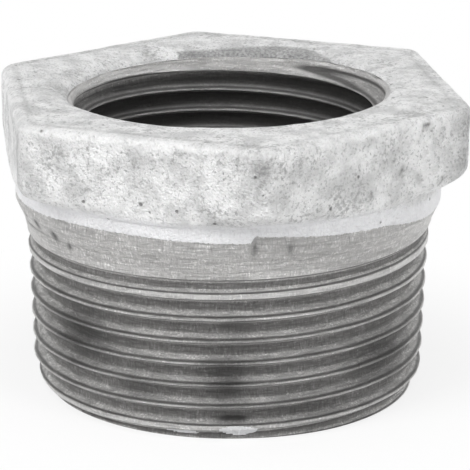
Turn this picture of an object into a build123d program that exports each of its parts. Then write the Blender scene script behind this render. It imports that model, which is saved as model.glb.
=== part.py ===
from build123d import *
import os
from math import ceil, cos, radians, sin, tan

# Hexagon reducing bushing of galvanised malleable cast iron, 1 1/4 x 1. A taper pipe
# thread outside screws into the larger fitting, and a parallel pipe thread inside takes
# the smaller pipe. It is one casting: the axis is Z, the end that goes in first stands
# on Z = 0, and one corner of the hexagon points along -Y.

# Driving dimensions, in millimetres and degrees, heights above the lower end
total_height = 31.7
across_flats = 45.6
head_height = 8.7
head_corner_radius = 3.0
head_top_edge_radius = 1.0
head_lower_edge_radius = 1.2
head_underside_angle = 23.0
neck_diameter = 44.5
neck_foot_height = 20.3
shoulder_diameter = 43.0
shoulder_foot_height = 18.7
crest_end_height = 17.0
lead_diameter = 39.1
lead_height = 2.2

thread_pitch = 2.309
thread_angle = 55.0
thread_depth = 1.479
thread_flat = 0.385

gauge_diameter = 41.910
gauge_height = 12.7
taper = 1 / 16
male_full_height = 12.5
male_end_height = 19.44

female_major_diameter = 33.249
female_end_height = 9.45
female_full_height = 13.35
mouth_diameter = 33.5
mouth_angle = 45.0
mouth_lip_radius = 0.4
tail_bore_diameter = 29.5
tail_bore_height = 6.0
tail_chamfer = 0.8

# How far each groove's tool reaches past the crests, and how finely a turn is drawn
flank_overrun = 0.12
tool_overrun = 0.4
sections_per_turn = 12

head_foot_height = total_height - head_height
neck_radius = neck_diameter / 2
flank_slope = tan(radians(thread_angle / 2))
female_crest_radius = female_major_diameter / 2 - thread_depth
tail_bore_radius = tail_bore_diameter / 2
tail_step = female_crest_radius - tail_bore_radius
mouth_radius = mouth_diameter / 2
lip_radius = mouth_radius + mouth_lip_radius
rim_height = total_height - mouth_lip_radius
mouth_depth = (mouth_radius - female_crest_radius) / tan(radians(mouth_angle))
underside_slope = tan(radians(head_underside_angle))
underside_radius = lead_diameter / 2
underside_height = head_foot_height - (neck_radius - underside_radius) * underside_slope
underside_rise = (across_flats - underside_radius) * underside_slope


def male_crest_radius(height):
    """Radius of the 1 in 16 cone that the crests of the outer thread lie on."""
    return (gauge_diameter - (gauge_height - height) * taper) / 2


def male_root_radius(height):
    """Root of the outer thread, which rises out of the metal where the die stopped."""
    run_out = max(0.0, height - male_full_height) / (male_end_height - male_full_height)
    lift = thread_depth + neck_radius - male_crest_radius(male_end_height)
    return male_crest_radius(height) - thread_depth + lift * run_out**2


def female_root_radius(height):
    """Root of the inner thread, which fades out where the lead of the tap stopped."""
    run_out = max(0.0, female_full_height - height) / (female_full_height - female_end_height)
    lift = thread_depth + tool_overrun
    return female_major_diameter / 2 - lift * run_out**2


def groove_tool(root_radius, foot_height, turns, opening):
    """One helical groove as a solid, lofted turn by turn through sections that stand in
    planes through the axis. The groove opens outwards (1) or towards the axis (-1)."""
    flank_reach = thread_depth + flank_overrun
    root_half = thread_flat / 2
    mouth_half = root_half + flank_reach * flank_slope
    with BuildPart() as tool:
        for turn in range(turns):
            for step in range(sections_per_turn + 1):
                part_turn = step / sections_per_turn
                angle = radians(360 * part_turn)
                height = foot_height + thread_pitch * (turn + part_turn)
                root = root_radius(height)
                flank_end = root + opening * flank_reach
                back = flank_end + opening * tool_overrun
                outward = (cos(angle), sin(angle), 0)
                along = (sin(angle), -cos(angle), 0)
                with BuildSketch(Plane((0, 0, height), x_dir=outward, z_dir=along)):
                    with BuildLine():
                        Polyline(
                            (root, -root_half),
                            (flank_end, -mouth_half),
                            (back, -mouth_half),
                            (back, mouth_half),
                            (flank_end, mouth_half),
                            (root, root_half),
                            close=True,
                        )
                    make_face()
            loft()
    return tool.part


# The outer groove runs off the lower end, and the inner one runs off the mouth.
male_turns = ceil((male_end_height + thread_pitch / 2) / thread_pitch)
male_foot_height = male_end_height - male_turns * thread_pitch
female_turns = ceil((total_height + thread_pitch / 2 - female_end_height) / thread_pitch)
male_groove = groove_tool(male_root_radius, male_foot_height, male_turns, 1)
female_groove = groove_tool(female_root_radius, female_end_height, female_turns, -1)

with BuildPart() as hex_bushing:
    # Wrench hexagon, with the soft edges of a casting
    with BuildSketch(Plane.XY.offset(underside_height)) as head_plan:
        RegularPolygon(across_flats / 2, 6, major_radius=False, rotation=30)
        fillet(head_plan.vertices(), head_corner_radius)
    extrude(amount=total_height - underside_height)
    head_ends = hex_bushing.faces().filter_by(Axis.Z).sort_by(Axis.Z)
    fillet(head_ends[-1].edges(), head_top_edge_radius)

    # The underside is a shallow cone, so the corners end higher than the flats. Its inner
    # part is hidden in the shank, and its rounding runs out where the neck covers it.
    with BuildSketch(Plane.YZ) as underside_section:
        with BuildLine():
            Polyline(
                (underside_radius, underside_height),
                (across_flats, underside_height),
                (across_flats, underside_height + underside_rise),
                close=True,
            )
        make_face()
    revolve(axis=Axis.Z, mode=Mode.SUBTRACT)
    cone = hex_bushing.faces().filter_by(GeomType.CONE).sort_by(Axis.Z)[0]
    fillet(cone.outer_wire().edges(), head_lower_edge_radius)

    # Shank: chamfered lead, taper, shoulder left by the die, and the cast neck
    with BuildSketch(Plane.YZ) as shank_section:
        with BuildLine():
            Polyline(
                (0, 0),
                (lead_diameter / 2, 0),
                (male_crest_radius(lead_height), lead_height),
                (male_crest_radius(crest_end_height), crest_end_height),
                (shoulder_diameter / 2, shoulder_foot_height),
                (neck_radius, neck_foot_height),
                (neck_radius, head_foot_height + head_height / 2),
                (0, head_foot_height + head_height / 2),
                close=True,
            )
        make_face()
    revolve(axis=Axis.Z)
    add(male_groove, mode=Mode.SUBTRACT)

    # Bore: plain cast tail, crests of the inner thread, countersunk mouth, rounded lip
    with BuildSketch(Plane.YZ) as bore_section:
        with BuildLine():
            Polyline(
                (0, 0),
                (tail_bore_radius + tail_chamfer, 0),
                (tail_bore_radius, tail_chamfer),
                (tail_bore_radius, tail_bore_height),
                (female_crest_radius, tail_bore_height + tail_step),
                (female_crest_radius, rim_height - mouth_depth),
                (mouth_radius, rim_height),
            )
            RadiusArc((mouth_radius, rim_height), (lip_radius, total_height), -mouth_lip_radius)
            Polyline((lip_radius, total_height), (0, total_height), (0, 0))
        make_face()
    revolve(axis=Axis.Z, mode=Mode.SUBTRACT)
    add(female_groove, mode=Mode.SUBTRACT)

hex_bushing.part.label = "hex_bushing"
os.makedirs("parts", exist_ok=True)
export_step(hex_bushing.part, "parts/hex_bushing.step")
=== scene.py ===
import math
import bpy
import numpy as np
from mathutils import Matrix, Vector, noise


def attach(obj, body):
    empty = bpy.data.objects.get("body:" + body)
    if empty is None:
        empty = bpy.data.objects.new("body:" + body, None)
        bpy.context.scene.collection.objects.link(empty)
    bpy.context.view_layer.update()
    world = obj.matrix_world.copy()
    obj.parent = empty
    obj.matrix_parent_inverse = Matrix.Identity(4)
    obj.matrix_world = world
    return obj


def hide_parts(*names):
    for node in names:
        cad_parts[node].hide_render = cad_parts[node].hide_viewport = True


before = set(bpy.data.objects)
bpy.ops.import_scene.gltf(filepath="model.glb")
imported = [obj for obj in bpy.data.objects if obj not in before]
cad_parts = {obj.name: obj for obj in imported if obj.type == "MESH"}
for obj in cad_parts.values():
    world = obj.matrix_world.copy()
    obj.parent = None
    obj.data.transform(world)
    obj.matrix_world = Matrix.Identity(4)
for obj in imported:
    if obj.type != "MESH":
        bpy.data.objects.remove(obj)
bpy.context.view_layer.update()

# ---------------------------------------------------------------------------------------
# The bushing: one casting of malleable iron with a hexagon head, dipped in zinc and then
# cut, so the head keeps its soft white skin and the two threads are bare grey iron.
# All of its lengths are in millimetres, and the mesh is brought to metres as it is made.
MM = 0.001
TURN = 2 * math.pi
OUTER_COLUMNS = 360
BORE_COLUMNS = OUTER_COLUMNS // 2

total_height = 31.7
across_flats = 45.6
head_height = 8.7
head_corner_radius = 3.0
underside_slope = math.tan(math.radians(23.0))
neck_radius = 22.25
neck_foot_height = 20.3
shoulder_radius = 21.5
shoulder_foot_height = 18.7
crest_end_height = 17.0
lead_radius = 19.55
lead_height = 2.2
pitch = 2.309
thread_depth = 1.479
thread_flat = 0.385
no_cut = 99
flank_slope = math.tan(math.radians(27.5))
groove_rounding = 0.14
edge_blend = 0.05
# Torn metal and dirt fill this share of each groove's depth
groove_fill = 0.2
gauge_diameter = 41.910
gauge_height = 12.7
male_full_height = 12.5
male_end_height = 19.44
female_major_radius = 33.249 / 2
female_end_height = 9.45
female_full_height = 13.35
female_crest_radius = female_major_radius - thread_depth
mouth_radius = 16.75
tail_bore_radius = 14.75
tail_bore_height = 6.0
tail_chamfer = 0.8
head_foot_height = total_height - head_height

male_turns = math.ceil((male_end_height + pitch / 2) / pitch)
male_foot_height = male_end_height - male_turns * pitch


def angles(count):
    """Angles of the columns once round the axis, counted from +X."""
    return np.arange(count) * TURN / count


def wave(angle, points):
    """A value that changes smoothly round the axis, through (degrees, value) points."""
    at = np.radians([p[0] for p in points]) % TURN
    value = np.array([p[1] for p in points])
    order = np.argsort(at)
    at, value = at[order], value[order]
    at = np.concatenate([at - TURN, at, at + TURN])
    value = np.tile(value, 3)
    near = [np.interp(angle % TURN + step, at, value) for step in (-0.12, -0.06, 0, 0.06, 0.12)]
    return sum(near) / 5


def grain(points, size, seed, octaves=3):
    """Fractal noise, about -1 to 1, at points in millimetres, with lumps of one size."""
    shift = Vector((seed * 17.3, seed * -9.1, seed * 5.7))
    flat = points.reshape(-1, 3) / size
    value = [noise.fractal(Vector(p) + shift, 0.9, 2.1, octaves) for p in flat]
    return np.array(value).reshape(points.shape[:-1])


def hexagon_radius(angle, inset):
    """Distance from the axis to the hexagon's outline, drawn in by a number of millimetres."""
    from_corner = np.abs((angle + TURN / 4 + TURN / 12) % (TURN / 6) - TURN / 12)
    arc_radius = head_corner_radius - inset
    arc_centre = (across_flats / 2 - head_corner_radius) / math.cos(TURN / 12)
    tangent = np.arctan2(
        arc_radius * math.sin(TURN / 12), arc_centre + arc_radius * math.cos(TURN / 12)
    )
    side = (across_flats / 2 - inset) / np.cos(TURN / 12 - from_corner)
    reach = np.maximum(arc_radius**2 - (arc_centre * np.sin(from_corner)) ** 2, 0)
    arc = arc_centre * np.cos(from_corner) + np.sqrt(reach)
    return np.where(from_corner < tangent, arc, side)


def male_crest(height):
    return (gauge_diameter - (gauge_height - height) / 16) / 2


def shank_blank(height):
    """The turned shank before its thread is cut."""
    heights = [0, lead_height, crest_end_height, shoulder_foot_height, neck_foot_height, 40]
    radii = [
        lead_radius,
        male_crest(lead_height),
        male_crest(crest_end_height),
        shoulder_radius,
        neck_radius,
        neck_radius,
    ]
    return np.interp(height, heights, radii)


def from_groove(angle, height, foot_height):
    """How far a point lies above the middle of the nearest groove, along the axis."""
    turns = (height - foot_height) / pitch - angle / TURN
    return (turns - np.round(turns)) * pitch


def soft_least(a, b, blend):
    """The smaller of two radii, with the corner between them rounded."""
    return -blend * np.logaddexp(-a / blend, -b / blend)


def flank_start(rise):
    """How far a point is past the groove's flat bottom, with a soft start to the flank."""
    return np.sqrt(rise**2 + 0.02) - groove_rounding - thread_flat / 2


def male_root(groove):
    """Root of the outer thread, which rises out of the metal where the die stopped."""
    run_out = np.maximum(0, groove - male_full_height) / (male_end_height - male_full_height)
    lift = thread_depth + neck_radius - male_crest(male_end_height)
    return male_crest(groove) - thread_depth + lift * run_out**2


def shank_radius(angle, height):
    """The outer thread, with torn metal and dirt left in the bottom of its groove."""
    rise = from_groove(angle, height, male_foot_height)
    groove = height - rise
    root = male_root(groove)
    flank = flank_start(rise)
    cut = root + np.maximum(flank, 0) / flank_slope
    cut = np.maximum(cut, root + groove_fill * np.maximum(0, shank_blank(groove) - root))
    cut = np.where(groove > male_end_height + pitch / 2, no_cut, cut)
    return soft_least(shank_blank(height), cut, edge_blend)


def bore_radius(angle, height, rim_radius, rim_height):
    """The inner thread between the cast tail and the countersunk mouth."""
    rise = from_groove(angle, height, female_end_height)
    groove = height - rise
    run_out = np.maximum(0, female_full_height - groove)
    run_out = run_out / (female_full_height - female_end_height)
    root = female_major_radius - (thread_depth + 0.4) * run_out**2
    flank = flank_start(rise)
    cut = np.minimum(root - np.maximum(flank, 0) / flank_slope, root - groove_fill * thread_depth)
    cut = np.where(groove < female_end_height - pitch / 2, 0, cut)
    countersink = rim_radius - (rim_height - height)
    tail = np.clip(tail_bore_radius + height - tail_bore_height, 0, female_crest_radius)
    blank = np.maximum(countersink, tail)
    return -soft_least(-blank, -cut, edge_blend)


def ring_faces(first, second):
    """Quads between two rings with the same number of columns."""
    return np.stack([first, np.roll(first, -1), np.roll(second, -1), second], axis=1)


class Skin:
    """Rings of points that are joined, one after another, to a closed surface."""

    def __init__(self):
        self.points, self.faces, self.count = [], [], 0

    def ring(self, angle, radius, height):
        radius, height = np.broadcast_to(radius, angle.shape), np.broadcast_to(height, angle.shape)
        self.points.append(np.stack([radius * np.cos(angle), radius * np.sin(angle), height], 1))
        self.count += len(angle)
        return np.arange(self.count - len(angle), self.count)

    def join(self, first, second):
        self.faces += [tuple(face) for face in ring_faces(first, second)]

    def helix(self, columns, foot_height, offsets, low, high, radius_at):
        """Rows that climb with the thread between two heights. Gives the end rings."""
        angle = angles(columns)
        first_turn = math.floor((np.min(low) - foot_height) / pitch) - 2
        last_turn = math.ceil((np.max(high) - foot_height) / pitch) + 1
        rows = []
        for turn in range(first_turn, last_turn):
            for offset in offsets:
                height = foot_height + pitch * (turn + angle / TURN) + offset
                height = np.clip(height, low, high)
                rows.append(self.ring(angle, radius_at(angle, height), height))
        step = len(offsets)
        for row in range(len(rows) - 1):
            lower, upper = rows[row], rows[row + 1]
            here = np.stack([lower[:-1], lower[1:], upper[1:], upper[:-1]], axis=1)
            self.faces += [tuple(face) for face in here]
            if row + 1 + step < len(rows):
                next_lower, next_upper = rows[row + step][0], rows[row + 1 + step][0]
                self.faces.append((lower[-1], next_lower, next_upper, upper[-1]))
        return rows[0], rows[-1]


skin = Skin()
around = angles(OUTER_COLUMNS)
half_around = angles(BORE_COLUMNS)

# The casting is a little skewed: its top leans, its underside hangs lower on one side,
# and the countersink was cut straight, so the mouth's edge wanders up and down
edge_height_points = [
    (3, 31.35), (14, 31.3), (28, 31.17), (41, 31.22), (53, 31.08), (69, 30.87), (98, 30.83),
    (107, 30.72), (126, 30.67), (142, 30.5), (160, 30.55), (178, 30.65), (190, 30.8),
    (198, 31.05), (214, 31.3), (231, 31.32), (245, 31.45), (257, 31.56), (278, 31.6),
    (290, 31.64), (324, 31.64), (340, 31.5), (353, 31.3),
]
lip_step_points = [
    (-98, 0.06), (-40, 0.08), (0, 0.15), (60, 0.3), (120, 0.35), (190, 0.3), (230, 0.1),
]
underside_drop_points = [
    (-30, 0.0), (-80, 0.05), (-98, 0.1), (-118, 0.25), (-133, 0.15), (-150, 0.45), (-180, 0.65),
    (150, 0.5), (90, 0.2), (30, 0.0),
]
edge_radius_points = [
    (-170, 1.0), (-120, 1.0), (-90, 1.05), (-60, 1.0), (-35, 0.6), (-20, 0.5), (0, 0.6),
    (40, 0.55), (90, 0.9),
]
edge_height = wave(around, edge_height_points)
lip_step = wave(around, lip_step_points)
underside_drop = wave(around, underside_drop_points)


lean_direction = math.radians(-5)
lean_at_corner = 0.15
corner_reach = 26
top_drop = 0.11


def top_height(angle, radius):
    """Height of the leaning top face."""
    lean = lean_at_corner * radius / corner_reach * np.cos(angle - lean_direction)
    return total_height - top_drop + lean


shell_foot_height = 21.0

# Cast skin from the mouth over the top face, the six flats and the underside to the neck
lip_start, lip_rows = mouth_radius + 0.03, 3
shell = [(lip_start, edge_height - lip_step + 0.02)]
for step in range(1, lip_rows + 1):
    shell.append((lip_start + 0.08 * step, edge_height - lip_step * (1 - step / lip_rows)))
lip_radius = lip_start + 0.08 * lip_rows
edge_radius = wave(around, edge_radius_points)
top_edge = hexagon_radius(around, edge_radius)
top_rows, dish_width = 22, 3.2
for step in range(1, top_rows + 1):
    share = (step / top_rows) ** 1.25
    radius = lip_radius + (top_edge - lip_radius) * share
    level = top_height(around, radius)
    dish = np.clip(1 - (radius - lip_radius) / dish_width, 0, 1) ** 2
    shell.append((radius, level - (level - edge_height) * dish))
side_top = top_height(around, top_edge)
edge_rows = 6
for step in range(1, edge_rows + 1):
    turn = math.radians(90 * step / edge_rows)
    inset = edge_radius * (1 - math.sin(turn))
    fall = edge_radius * (1 - math.cos(turn))
    shell.append((hexagon_radius(around, inset), side_top - fall))
outline = hexagon_radius(around, 0)


def underside(radius):
    """Height of the coned underside, which hangs lower on one side."""
    return head_foot_height + (radius - neck_radius) * underside_slope - underside_drop


side_foot = underside(outline)
most_roll = 1.5
roll = np.minimum(most_roll, (outline - neck_radius) * 0.85)
side_end = side_foot + np.minimum(most_roll, 0.5 + roll)
side_start = side_top - edge_radius
side_rows, roll_rows, underside_rows, neck_rows = 8, 9, 6, 9
for step in range(1, side_rows + 1):
    shell.append((outline, side_start + (side_end - side_start) * step / side_rows))
for step in range(1, roll_rows + 1):
    share = step / roll_rows
    radius = outline - roll * share**2
    level = side_end * (1 - share) ** 2 + side_foot * 2 * share * (1 - share)
    shell.append((radius, level + underside(outline - roll) * share**2))
inner = outline - roll
neck_flare = 0.12
for step in range(1, underside_rows + 1):
    radius = inner + (neck_radius + neck_flare - inner) * step / underside_rows
    shell.append((radius, underside(radius)))
neck_top = underside(neck_radius + neck_flare)
for step in range(1, neck_rows + 1):
    flare = neck_flare * max(0, 1 - step / 2) ** 2
    share = (step / neck_rows) ** 1.3
    shell.append((neck_radius + flare, neck_top + (shell_foot_height - neck_top) * share))

rings = [skin.ring(around, radius, height) for radius, height in shell]
for upper, lower in zip(rings, rings[1:]):
    skin.join(lower, upper)

# Outer thread, and the flat lower end that its groove runs off
male_rows = [
    -pitch / 2, -1.03, -0.93, -0.8, -0.5, -0.28, -0.15,
    0, 0.15, 0.28, 0.5, 0.8, 0.93, 1.03,
]
thread_low, thread_high = skin.helix(
    OUTER_COLUMNS, male_foot_height, male_rows, 0.0, shell_foot_height, shank_radius
)
skin.join(thread_high, rings[-1])
end_ring = thread_low
for share in (0.12, 0.5, 0.88):
    radius = lead_radius + (tail_bore_radius + tail_chamfer - lead_radius) * share
    next_ring = skin.ring(around, radius - (0.25 if share < 0.2 else 0), 0.0)
    skin.join(next_ring, end_ring)
    end_ring = next_ring
outer_count = skin.count

# Bore: chamfered cast tail, inner thread, and the countersink up to the mouth's edge
tail_rings = [
    (tail_chamfer, 0.0), (tail_chamfer / 2, tail_chamfer / 2), (0, tail_chamfer),
    (0, 2.4), (0, 4.2), (0, 5.6),
]
bore_rings = [
    skin.ring(half_around, tail_bore_radius + flare, level) for flare, level in tail_rings
]
for lower, upper in zip(bore_rings, bore_rings[1:]):
    skin.join(upper, lower)
half_rim = wave(half_around, edge_height_points) - wave(half_around, lip_step_points)
female_rows = [-pitch / 2, -1.0, -0.88, -0.6, -0.3, -0.12, 0.12, 0.3, 0.6, 0.88, 1.0]
bore_low, bore_high = skin.helix(
    BORE_COLUMNS,
    female_end_height,
    female_rows,
    5.8,
    half_rim,
    lambda angle, height: bore_radius(angle, height, mouth_radius, half_rim),
)
skin.join(bore_low, bore_rings[-1])


def fan(wide, narrow, flip):
    """Triangles between a ring and one with half as many columns."""
    count = len(narrow)
    for k in range(count):
        a, b, c = wide[2 * k], wide[2 * k + 1], wide[(2 * k + 2) % len(wide)]
        p, q = narrow[k], narrow[(k + 1) % count]
        for face in ((a, b, p), (b, q, p), (b, c, q)):
            skin.faces.append(face[::-1] if flip else face)


fan(end_ring, bore_rings[0], True)
fan(rings[0], bore_high, False)

points = np.concatenate(skin.points)
angle = np.arctan2(points[:, 1], points[:, 0])
reach = np.hypot(points[:, 0], points[:, 1])
height = points[:, 2]
in_bore = np.arange(len(points)) >= outer_count

# Crest value: 1 on the crests of either thread, falling towards 0 at the root that a
# groove would have if nothing filled it, in the shallow grooves of the run-out as well
crest = np.ones(len(points))
in_male = ~in_bore & (reach > 17.5) & (height < 20.9) & (height > 0)
blank = shank_blank(height)
groove = height - from_groove(angle % TURN, height, male_foot_height)
local_depth = np.maximum(0.3, blank - male_root(groove))
crest[in_male] = np.clip(1 - (blank - reach) / local_depth, 0, 1)[in_male]
rim = wave(angle, edge_height_points) - wave(angle, lip_step_points)
bore_blank = np.maximum(female_crest_radius, mouth_radius - (rim - height))
threaded = in_bore & (height > 6.4)
crest[threaded] = np.clip(1 - (reach - bore_blank) / thread_depth, 0, 1)[threaded]

# The zinc ends in a ragged line round the neck, where the die has cut it away, with one
# sharp step in it, and it also skins the tail of the bore
zinc_foot_points = [
    (-170, 21.0), (-161, 21.1), (-151, 21.3), (-143, 21.5), (-133, 21.5), (-121, 21.55),
    (-108, 21.35), (-92, 21.3), (-81, 21.42), (-66, 21.12), (-56, 21.34), (-40, 20.3),
    (-10, 20.1), (30, 20.4), (80, 21.2), (130, 20.8),
]
past_step = np.degrees(angle) + 92.3
step_up = np.where(past_step > 0, 0.7 * np.exp(-np.maximum(past_step, 0) / 20), 0)
zinc_foot = wave(angle, zinc_foot_points) + step_up
cut_below = np.where(in_bore, 5.0, zinc_foot - height)
cut_below[in_bore & (height < 5.9)] = -2.0

# Zinc that the die dragged down lies smeared over the last crest, in two patches, each
# with its place round the axis, its height, and its half width in degrees and height
zinc_smears = ((-95.5, 1.05, 6.5, 0.75), (-112, 0.6, 6, 0.3))
for turned, level, width, tallness in zinc_smears:
    away = np.hypot((np.degrees(angle) - turned) / width, (height - level) / tallness)
    smeared = ~in_bore & (away < 1) & (height > 0)
    cut_below[smeared] = (away[smeared] - 1) * 0.6

# Grime and painted reflection: grey on the corners, pin holes, nicks in the neck, and broad dark
# patches of painted reflection on the thread. Each spot has its place round the axis, height,
# radius, width, tallness and strength
grime_and_reflection_spots = [
    (-91.8, 29.6, 25.8, 1.1, 1.5, 0.8), (-93.5, 27.6, 25.4, 1.6, 1.6, 0.45),
    (-96, 30.2, 25.0, 1.6, 0.9, 0.35), (-153.5, 27.5, 25.2, 1.1, 4.5, 0.65),
    (-30, 29.8, 25.6, 2.4, 2.2, 0.7), (-31, 26.6, 25.4, 1.6, 2.6, 0.6),
    (-43.5, 30.9, 23.8, 0.45, 0.3, 1.6), (-50.9, 26.8, 23.1, 0.3, 0.3, 1.6),
    (-45.5, 25.5, 23.5, 0.4, 0.35, 1.3), (-38.1, 24.9, 24.5, 0.35, 0.35, 1.3),
    (-61.1, 24.8, 22.8, 0.4, 0.35, 1.0), (-151.5, 25.3, 25.4, 0.5, 0.35, 1.5),
    (-109.4, 30.3, 23.2, 0.8, 0.5, 0.7), (-126.5, 28.6, 23.0, 0.7, 0.6, 0.5),
    (-134.8, 25.8, 23.6, 1.2, 0.9, 0.35), (-122, 29.2, 22.8, 0.5, 0.6, 0.4),
    (-160.5, 19.8, 21.7, 0.5, 0.6, 1.7), (-151.9, 19.3, 21.6, 0.45, 0.6, 1.7),
    (-168.6, 19.8, 21.8, 0.4, 0.5, 1.4), (-146, 18.6, 21.4, 0.3, 0.4, 1.2),
    (-92.0, 20.7, 22.2, 0.35, 0.8, 0.7), (-82.8, 20.6, 22.2, 0.35, 0.6, 0.7),
    (-56, 10.6, 20.8, 0.4, 0.35, 1.6), (-97, 2.3, 19.8, 1.5, 0.35, 1.7),
    (-147, 9.0, 20.6, 4.5, 3.4, 0.85), (-99, 6.5, 20.4, 2.6, 3.6, 0.8),
    (-47, 6.5, 20.4, 4.5, 3.0, 0.75), (-125, 5.0, 20.2, 3.0, 1.6, 0.4),
    (-97, 12.0, 20.6, 1.8, 1.6, 0.5), (-75, 3.0, 20.0, 5.0, 1.5, 0.45),
]
grime_and_dark_reflection = np.zeros(len(points))
for turned, level, radius, width, tallness, strength in grime_and_reflection_spots:
    turned = math.radians(turned)
    spot = np.array([radius * math.cos(turned), radius * math.sin(turned), level])
    away = (points - spot) / np.array([width, width, tallness])
    grime_and_dark_reflection = np.maximum(grime_and_dark_reflection, strength * np.exp(-(away**2).sum(1)))
# A stain lies behind the mouth, and a grey line runs along the top face just inside the head's
# upper edge
stain_reach_points = [
    (20, 16), (41, 16.9), (44, 17.8), (55, 19.2), (62, 19.4), (74, 18.4), (85, 18.0), (94, 17.9),
    (104, 17.9), (130, 16),
]
stain = np.clip((wave(angle, stain_reach_points) - reach) / 0.5, 0, 0.8) * (height > 29)
stain = stain * np.clip(101 - np.degrees(angle), 0, 1) * (reach > mouth_radius)
grime_and_dark_reflection = np.maximum(grime_and_dark_reflection, stain)
crease = 0.35 * np.exp(-(((reach - hexagon_radius(angle, 1.5)) / 0.3) ** 2)) * (height > 31)
grime_and_dark_reflection = np.clip(np.maximum(grime_and_dark_reflection, crease), 0, 1)
grime_and_dark_reflection[in_bore] = 0

# Painted highlight: the head's upper rounding is painted bright, most of all on one side
edge_highlight_points = [
    (-180, 0.4), (-152, 0.4), (-146, 1.0), (-100, 1.0), (-92, 0.35), (-84, 0.6), (-36, 0.7),
    (-28, 0.2), (30, 0.4), (90, 0.4), (150, 0.4),
]
below_top = top_height(angle, 24) - height
edge_highlight = np.exp(-(((below_top - 0.5) / 0.42) ** 2)) * (reach > hexagon_radius(angle, 1.2))
edge_highlight = edge_highlight * wave(angle, edge_highlight_points) * ~in_bore

# Depth: 0 at the mouth and 1 where the bore is in shade
below_mouth = wave(angle, edge_height_points) - 1.3 - height
depth = np.where(in_bore, np.clip(below_mouth / 1.2, 0, 1), 0)

# Cast lumps in the skin and torn metal on the threads, as moves along the surface. The
# skin is drawn in a little and clipped, so that no lump stands out of the CAD box
side_sink, top_sink = 0.065, 0.06
lumps = grain(points, 5.0, 1) * 0.06 + grain(points, 1.6, 2) * 0.035
tears = grain(points * np.array([0.35, 0.35, 2.2]), 0.9, 3) * 0.05
outward = np.stack([np.cos(angle), np.sin(angle)], 1)
face_share = np.clip((height - (side_top.min() - 0.3)) / 0.3, 0, 1) * (reach > mouth_radius - 0.1)
skin_share = np.clip((height - 20.5) / 0.8, 0, 1) * ~in_bore
side_move = lumps * skin_share + tears * (1 - skin_share) * (1 - 0.6 * in_bore)
side_move = side_move - side_sink
side_move = side_move * (1 - face_share) * (height > 0.01)
points[:, :2] += outward * side_move[:, None]
points[:, 2] += face_share * (lumps * 1.1 - top_sink)
points[:, 2] = np.clip(points[:, 2], 0, total_height)
points[:, 0] = np.clip(points[:, 0], -across_flats / 2, across_flats / 2)

# Points that the ends of the thread rows brought together become one
_, first, group = np.unique(
    np.round(points, 5), axis=0, return_index=True, return_inverse=True
)
group = group.ravel()
faces = []
for face in skin.faces:
    corners = []
    for corner in face:
        point = int(group[corner])
        if point not in corners:
            corners.append(point)
    if len(corners) > 2:
        faces.append(corners)

bushing_mesh = bpy.data.meshes.new("hex_bushing_casting")
bushing_mesh.from_pydata((points[first] * MM).tolist(), [], faces)
painted_values = (
    ("crest", crest), ("cut_below", cut_below), ("grime_and_dark_reflection", grime_and_dark_reflection), ("depth", depth), ("edge_highlight", edge_highlight),
)
for name, value in painted_values:
    layer = bushing_mesh.attributes.new(name, "FLOAT", "POINT")
    layer.data.foreach_set("value", value[first].astype(np.float32))
bushing_mesh.shade_smooth()
bushing_mesh.update()
bushing = bpy.data.objects.new("hex_bushing_casting", bushing_mesh)
bpy.context.scene.collection.objects.link(bushing)


def effect_group(name, inputs, outputs):
    """A shader node group with named number inputs, and outputs named with their kind."""
    tree = bpy.data.node_groups.new(name, "ShaderNodeTree")
    for label, value in inputs:
        socket = tree.interface.new_socket(label, in_out="INPUT", socket_type="NodeSocketFloat")
        socket.default_value = value
    for label in outputs:
        tree.interface.new_socket(label, in_out="OUTPUT", socket_type="NodeSocketFloat")
    return tree, tree.nodes.new("NodeGroupInput"), tree.nodes.new("NodeGroupOutput")


def wire(tree, kind, settings=(), **inputs):
    """Adds a node, sets it up, and connects or sets its inputs by name or number."""
    node = tree.nodes.new(kind)
    for key, value in settings:
        setattr(node, key, value)
    for key, value in inputs.items():
        by_number = key[0] == "i" and key[1:].isdigit()
        socket = node.inputs[int(key[1:]) if by_number else key]
        if isinstance(value, bpy.types.NodeSocket):
            tree.links.new(value, socket)
        else:
            socket.default_value = value
    return node


def maths(tree, operation, a, b=0.0, clamp=False):
    settings = (("operation", operation), ("use_clamp", clamp))
    return wire(tree, "ShaderNodeMath", settings, i0=a, i1=b).outputs[0]


def times(tree, a, b):
    return maths(tree, "MULTIPLY", a, b)


def ramp(tree, value, low, high, to_low=0.0, to_high=1.0):
    """Value brought from one range to another, with soft ends."""
    node = wire(
        tree, "ShaderNodeMapRange", (("interpolation_type", "SMOOTHSTEP"),),
        i0=value, i1=low, i2=high, i3=to_low, i4=to_high,
    )
    return node.outputs[0]


def place(tree, stretch):
    """The point on the object in millimetres, with each axis stretched."""
    at = tree.nodes.new("ShaderNodeTexCoord").outputs["Object"]
    scale = [s / MM for s in stretch]
    settings = (("vector_type", "POINT"),)
    return wire(tree, "ShaderNodeMapping", settings, i0=at, Scale=scale).outputs[0]


def speckle(tree, vector, scale, detail=4.0, roughness=0.55, distortion=0.0):
    """Noise with a number of lumps to the millimetre."""
    node = wire(
        tree, "ShaderNodeTexNoise", (),
        Vector=vector, Scale=scale, Detail=detail, Roughness=roughness, Distortion=distortion,
    )
    return node.outputs[0]


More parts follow.
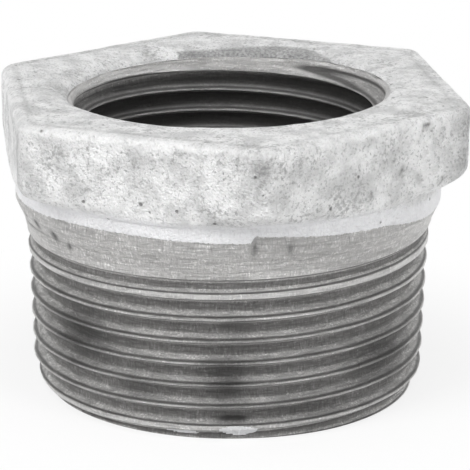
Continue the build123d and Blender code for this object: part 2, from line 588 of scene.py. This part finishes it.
# Cast grain: mottling, small blotches, lumps and pin holes of a rough casting under zinc
cast_grain, given, result = effect_group(
    "cast grain", [("Pit amount", 0.5)], ["Mottle", "Blotches", "Lumps", "Pits"]
)
body = place(cast_grain, (1, 1, 1))
mottle = speckle(cast_grain, body, 0.35, 6.0, 0.68)
cast_grain.links.new(ramp(cast_grain, mottle, 0.36, 0.62), result.inputs["Mottle"])
blotch = speckle(cast_grain, body, 2.3, 5.0, 0.7)
spread = speckle(cast_grain, body, 0.22, 2.0)
patchy = times(cast_grain, maths(cast_grain, "SUBTRACT", spread, 0.5), 0.55)
blotch = maths(cast_grain, "ADD", blotch, patchy)
cast_grain.links.new(ramp(cast_grain, blotch, 0.56, 0.66), result.inputs["Blotches"])
lump = maths(cast_grain, "ADD", speckle(cast_grain, body, 1.3), speckle(cast_grain, body, 4.0))
cast_grain.links.new(times(cast_grain, lump, 0.5), result.inputs["Lumps"])
cells = wire(cast_grain, "ShaderNodeTexVoronoi", (), Vector=body, Scale=0.8)
near_cell = ramp(cast_grain, cells.outputs["Distance"], 0.1, 0.2, 1.0, 0.0)
few = speckle(cast_grain, body, 0.5, 2.0)
limit = maths(cast_grain, "SUBTRACT", 0.8, times(cast_grain, given.outputs[0], 0.4))
chosen = maths(cast_grain, "GREATER_THAN", few, limit)
cast_grain.links.new(times(cast_grain, near_cell, chosen), result.inputs["Pits"])

# Tool marks: fine chatter down the cut and torn streaks along it
tool_marks, given, result = effect_group(
    "tool marks", [("Chatter size", 6.0)], ["Chatter", "Tear", "Streak"]
)
upright = place(tool_marks, (1, 1, 0.3))
chatter = speckle(tool_marks, upright, given.outputs[0], 4.0, 0.6, 0.6)
tool_marks.links.new(chatter, result.inputs["Chatter"])
along = place(tool_marks, (0.45, 0.45, 4.0))
torn = speckle(tool_marks, along, 1.1, 5.0, 0.7, 0.8)
tool_marks.links.new(torn, result.inputs["Tear"])
tool_marks.links.new(speckle(tool_marks, along, 0.5, 3.0), result.inputs["Streak"])


def add_group(tree, group, **values):
    node = tree.nodes.new("ShaderNodeGroup")
    node.node_tree = group
    for label, value in values.items():
        node.inputs[label.replace("_", " ")].default_value = value
    return node


def mix_colour(tree, share, a, b):
    node = wire(tree, "ShaderNodeMix", (("data_type", "RGBA"),))
    for socket, value in ((node.inputs[0], share), (node.inputs[6], a), (node.inputs[7], b)):
        if isinstance(value, bpy.types.NodeSocket):
            tree.links.new(value, socket)
        else:
            socket.default_value = value if isinstance(value, float) else (*value, 1)
    return node.outputs[2]


def mix_value(tree, share, a, b):
    node = wire(tree, "ShaderNodeMix", (("data_type", "FLOAT"),), i0=share, i2=a, i3=b)
    return node.outputs[0]


def painted(tree, name):
    return wire(tree, "ShaderNodeAttribute", (("attribute_name", name),)).outputs["Fac"]


finish = bpy.data.materials.new("galvanised iron with cut threads")
finish.use_nodes = True
tree = finish.node_tree
tree.nodes.clear()
out = tree.nodes.new("ShaderNodeOutputMaterial")
shader = tree.nodes.new("ShaderNodeBsdfPrincipled")
tree.links.new(shader.outputs[0], out.inputs["Surface"])

cast = add_group(tree, cast_grain, Pit_amount=0.5)
marks = add_group(tree, tool_marks, Chatter_size=5.0)
mottle, pits = cast.outputs["Mottle"], cast.outputs["Pits"]
chatter, tear, streak = (marks.outputs[name] for name in ("Chatter", "Tear", "Streak"))
crest_at, below_zinc = painted(tree, "crest"), painted(tree, "cut_below")
everywhere = place(tree, (1, 1, 1))
fine = speckle(tree, everywhere, 3.4, 4.0)
patches = speckle(tree, everywhere, 0.9, 4.0)

# Where the die has cut the zinc away, with a ragged edge
uneven = times(tree, maths(tree, "SUBTRACT", fine, 0.5), 0.4)
bare = ramp(tree, maths(tree, "ADD", below_zinc, uneven), -0.04, 0.04)

# Zinc: near-white, with grey mottling, darker blotches and pin holes, smooth on the neck
zinc_dull, zinc_clean = (0.66, 0.66, 0.66), (0.93, 0.93, 0.93)
zinc_blotch, zinc_speck, zinc_dirt = (0.32, 0.32, 0.32), (0.30, 0.30, 0.30), (0.22, 0.22, 0.22)
zinc_smooth, zinc_edge_highlight, pin_hole = (0.96, 0.96, 0.98), (0.97, 0.97, 0.97), (0.14, 0.135, 0.13)
zinc = mix_colour(tree, mottle, zinc_dull, zinc_clean)
zinc = mix_colour(tree, times(tree, cast.outputs["Blotches"], 0.6), zinc, zinc_blotch)
zinc = mix_colour(tree, ramp(tree, fine, 0.56, 0.64, 0.0, 0.5), zinc, zinc_speck)
zinc = mix_colour(tree, ramp(tree, below_zinc, -2.4, -1.3, 0.0, 0.75), zinc, zinc_smooth)
# Painted highlight along the head's upper edge
edge_highlight_share = times(tree, painted(tree, "edge_highlight"), ramp(tree, patches, 0.38, 0.52, 0.2, 1.0))
zinc = mix_colour(tree, edge_highlight_share, zinc, zinc_edge_highlight)
dirty = times(tree, painted(tree, "grime_and_dark_reflection"), ramp(tree, fine, 0.35, 0.6, 0.6, 1.0))
zinc = mix_colour(tree, dirty, zinc, zinc_dirt)
zinc = mix_colour(tree, times(tree, pits, 0.75), zinc, pin_hole)

# Iron: mid grey where the tool left it, with painted highlights and glints on the crests, lighter
# upper turns as painted reflection, and painted shade along each crest's edge, in the roots with
# their dirt, and down the bore
iron_torn, iron_cut, iron_gouged = (0.38, 0.375, 0.37), (0.60, 0.59, 0.58), (0.14, 0.14, 0.135)
iron_wear_and_crest_highlight, iron_glint_highlight = (0.84, 0.83, 0.82), (0.98, 0.97, 0.96)
crest_edge_shade, root_shade_and_dirt = (0.10, 0.098, 0.095), (0.07, 0.068, 0.065)
iron_dark_marks_and_reflection, bore_shade = (0.045, 0.044, 0.043), (0.03, 0.029, 0.028)
iron = mix_colour(tree, ramp(tree, tear, 0.35, 0.65), iron_torn, iron_cut)
iron = mix_colour(tree, ramp(tree, chatter, 0.3, 0.5, 0.45, 0.0), iron, iron_gouged)
# Painted reflection: the upper turns of the thread are painted lighter
upper = times(tree, ramp(tree, below_zinc, 1.0, 11.0, 1.0, 0.0), 0.4)
# Painted highlight on the crests, patchy, with some wear
wear_and_crest_highlight = maths(tree, "ADD", ramp(tree, streak, 0.35, 0.65, 0.1, 0.55), upper)
wear_and_crest_highlight = times(tree, wear_and_crest_highlight, ramp(tree, below_zinc, 3.0, 5.0, 0.3, 1.0))
wear_and_crest_highlight = maths(tree, "MULTIPLY", ramp(tree, crest_at, 0.3, 0.9), wear_and_crest_highlight, True)
iron = mix_colour(tree, wear_and_crest_highlight, iron, iron_wear_and_crest_highlight)
# Painted glints: small highlights painted near white
glint_highlight = times(tree, ramp(tree, chatter, 0.5, 0.72), ramp(tree, tear, 0.42, 0.56))
iron = mix_colour(tree, glint_highlight, iron, iron_glint_highlight)
# Painted shade: a dark line along the edge of each crest
crest_edge_shade_share = times(tree, ramp(tree, crest_at, 0.6, 0.78), ramp(tree, crest_at, 0.86, 0.98, 0.85, 0.0))
iron = mix_colour(tree, crest_edge_shade_share, iron, crest_edge_shade)
# Painted shade and dirt darken the roots
iron = mix_colour(tree, ramp(tree, crest_at, 0.12, 0.34, 0.85, 0.0), iron, root_shade_and_dirt)
# Painted reflection: broad dark patches on the thread, with a few small dark marks
iron = mix_colour(tree, times(tree, painted(tree, "grime_and_dark_reflection"), 0.9), iron, iron_dark_marks_and_reflection)
sunk = times(tree, painted(tree, "depth"), ramp(tree, crest_at, 0.3, 1.0, 0.93, 0.2))
iron = mix_colour(tree, sunk, iron, bore_shade)
tree.links.new(mix_colour(tree, bare, zinc, iron), shader.inputs["Base Color"])

iron_metallic = ramp(tree, crest_at, 0.4, 0.9, 0.5, 0.9)
tree.links.new(mix_value(tree, bare, 0.3, iron_metallic), shader.inputs["Metallic"])
zinc_roughness = ramp(tree, mottle, 0, 1, 0.46, 0.32)
iron_roughness = ramp(tree, crest_at, 0.4, 0.9, 0.58, 0.33)
roughness = mix_value(tree, bare, zinc_roughness, iron_roughness)
tree.links.new(roughness, shader.inputs["Roughness"])

skin_height = maths(tree, "SUBTRACT", times(tree, cast.outputs["Lumps"], 2.2), pits)
cut_height = maths(tree, "ADD", times(tree, chatter, 0.5), tear)
relief = mix_value(tree, bare, skin_height, cut_height)
bump = wire(tree, "ShaderNodeBump", (), Strength=1.0, Distance=0.0004, Height=relief)
tree.links.new(bump.outputs[0], shader.inputs["Normal"])

bushing_mesh.materials.append(finish)
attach(bushing, "root")
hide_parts("hex_bushing")

# ---------------------------------------------------------------------------------------
# The table it stands on: a plain pale sweep that turns to white away from the object.
floor_mesh = bpy.data.meshes.new("floor")
half = 1.2
floor_corners = [(-half, -half, 0), (half, -half, 0), (half, half, 0), (-half, half, 0)]
floor_mesh.from_pydata(floor_corners, [], [(0, 1, 2, 3)])
floor = bpy.data.objects.new("floor", floor_mesh)
bpy.context.scene.collection.objects.link(floor)
paper = bpy.data.materials.new("white paper")
paper.use_nodes = True
tree = paper.node_tree
tree.nodes.clear()
out = tree.nodes.new("ShaderNodeOutputMaterial")
sheet = wire(tree, "ShaderNodeBsdfPrincipled", (), Roughness=0.9)
sheet.inputs["Base Color"].default_value = (0.86, 0.86, 0.86, 1)
glow = wire(tree, "ShaderNodeEmission", (), Strength=1.0)
glow.inputs["Color"].default_value = (1, 1, 1, 1)
path = tree.nodes.new("ShaderNodeLightPath")
at = tree.nodes.new("ShaderNodeTexCoord").outputs["Object"]
distance = wire(tree, "ShaderNodeVectorMath", (("operation", "LENGTH"),), i0=at).outputs["Value"]
away = ramp(tree, distance, 0.02, 0.05, 0.8, 1.0)
shown = maths(tree, "MAXIMUM", path.outputs["Is Camera Ray"], path.outputs["Is Glossy Ray"])
shown = maths(tree, "MAXIMUM", shown, path.outputs["Is Transmission Ray"])
white = times(tree, away, shown)
blend = tree.nodes.new("ShaderNodeMixShader")
tree.links.new(white, blend.inputs[0])
tree.links.new(sheet.outputs[0], blend.inputs[1])
tree.links.new(glow.outputs[0], blend.inputs[2])
tree.links.new(blend.outputs[0], out.inputs["Surface"])
floor_mesh.materials.append(paper)

# ---------------------------------------------------------------------------------------
# Studio light: a dim room with a white backdrop, a soft lamp on each side and one overhead.
room = bpy.data.worlds.new("studio")
room.use_nodes = True
bpy.context.scene.world = room
tree = room.node_tree
tree.nodes.clear()
out = tree.nodes.new("ShaderNodeOutputWorld")
backdrop = wire(tree, "ShaderNodeBackground", (), Strength=1.0)
backdrop.inputs["Color"].default_value = (1, 1, 1, 1)
fill = wire(tree, "ShaderNodeBackground", (), Strength=0.33)
fill.inputs["Color"].default_value = (1, 1, 1, 1)
path = tree.nodes.new("ShaderNodeLightPath")
toward = tree.nodes.new("ShaderNodeTexCoord").outputs["Generated"]
backdrop_direction = (0.15, 0.97, 0.2)
behind = wire(
    tree, "ShaderNodeVectorMath", (("operation", "DOT_PRODUCT"),),
    i0=toward, i1=backdrop_direction,
)
sheet_seen = ramp(tree, behind.outputs["Value"], 0.45, 0.85)
sheet_seen = times(tree, sheet_seen, path.outputs["Is Glossy Ray"])
sheet_seen = maths(tree, "MAXIMUM", sheet_seen, path.outputs["Is Transmission Ray"])
blend = tree.nodes.new("ShaderNodeMixShader")
tree.links.new(maths(tree, "MAXIMUM", path.outputs["Is Camera Ray"], sheet_seen), blend.inputs[0])
tree.links.new(fill.outputs[0], blend.inputs[1])
tree.links.new(backdrop.outputs[0], blend.inputs[2])
tree.links.new(blend.outputs[0], out.inputs["Surface"])


def soft_lamp(name, place, aim, width, height, power):
    lamp = bpy.data.lights.new(name, "AREA")
    lamp.shape = "RECTANGLE"
    lamp.size, lamp.size_y, lamp.energy = width, height, power
    holder = bpy.data.objects.new(name, lamp)
    holder.location = place
    holder.rotation_euler = (Vector(aim) - Vector(place)).to_track_quat("-Z", "Y").to_euler()
    bpy.context.scene.collection.objects.link(holder)


soft_lamp("overhead lamp", (-0.03, -0.13, 0.43), (0, 0, 0.02), 0.3, 0.3, 0.55)
soft_lamp("left lamp", (-0.31, -0.20, 0.27), (0, 0, 0.015), 0.2, 0.2, 1.15)
soft_lamp("right lamp", (0.24, -0.32, 0.25), (0, 0, 0.015), 0.18, 0.2, 0.82)

# ---------------------------------------------------------------------------------------
# Camera: a long lens a little above the head, looking down at the front corner.
camera_data = bpy.data.cameras.new("camera")
camera_data.sensor_width = 36
camera_data.lens = 195.7
camera_data.clip_start = 0.01
camera = bpy.data.objects.new("camera", camera_data)
camera.location = (-0.038607, -0.253780, 0.095750)
camera.rotation_euler = [math.radians(a) for a in (72.5998, -0.2672, -8.7273)]
bpy.context.scene.collection.objects.link(camera)
bpy.context.scene.camera = camera
bpy.context.scene.view_settings.view_transform = "Standard"
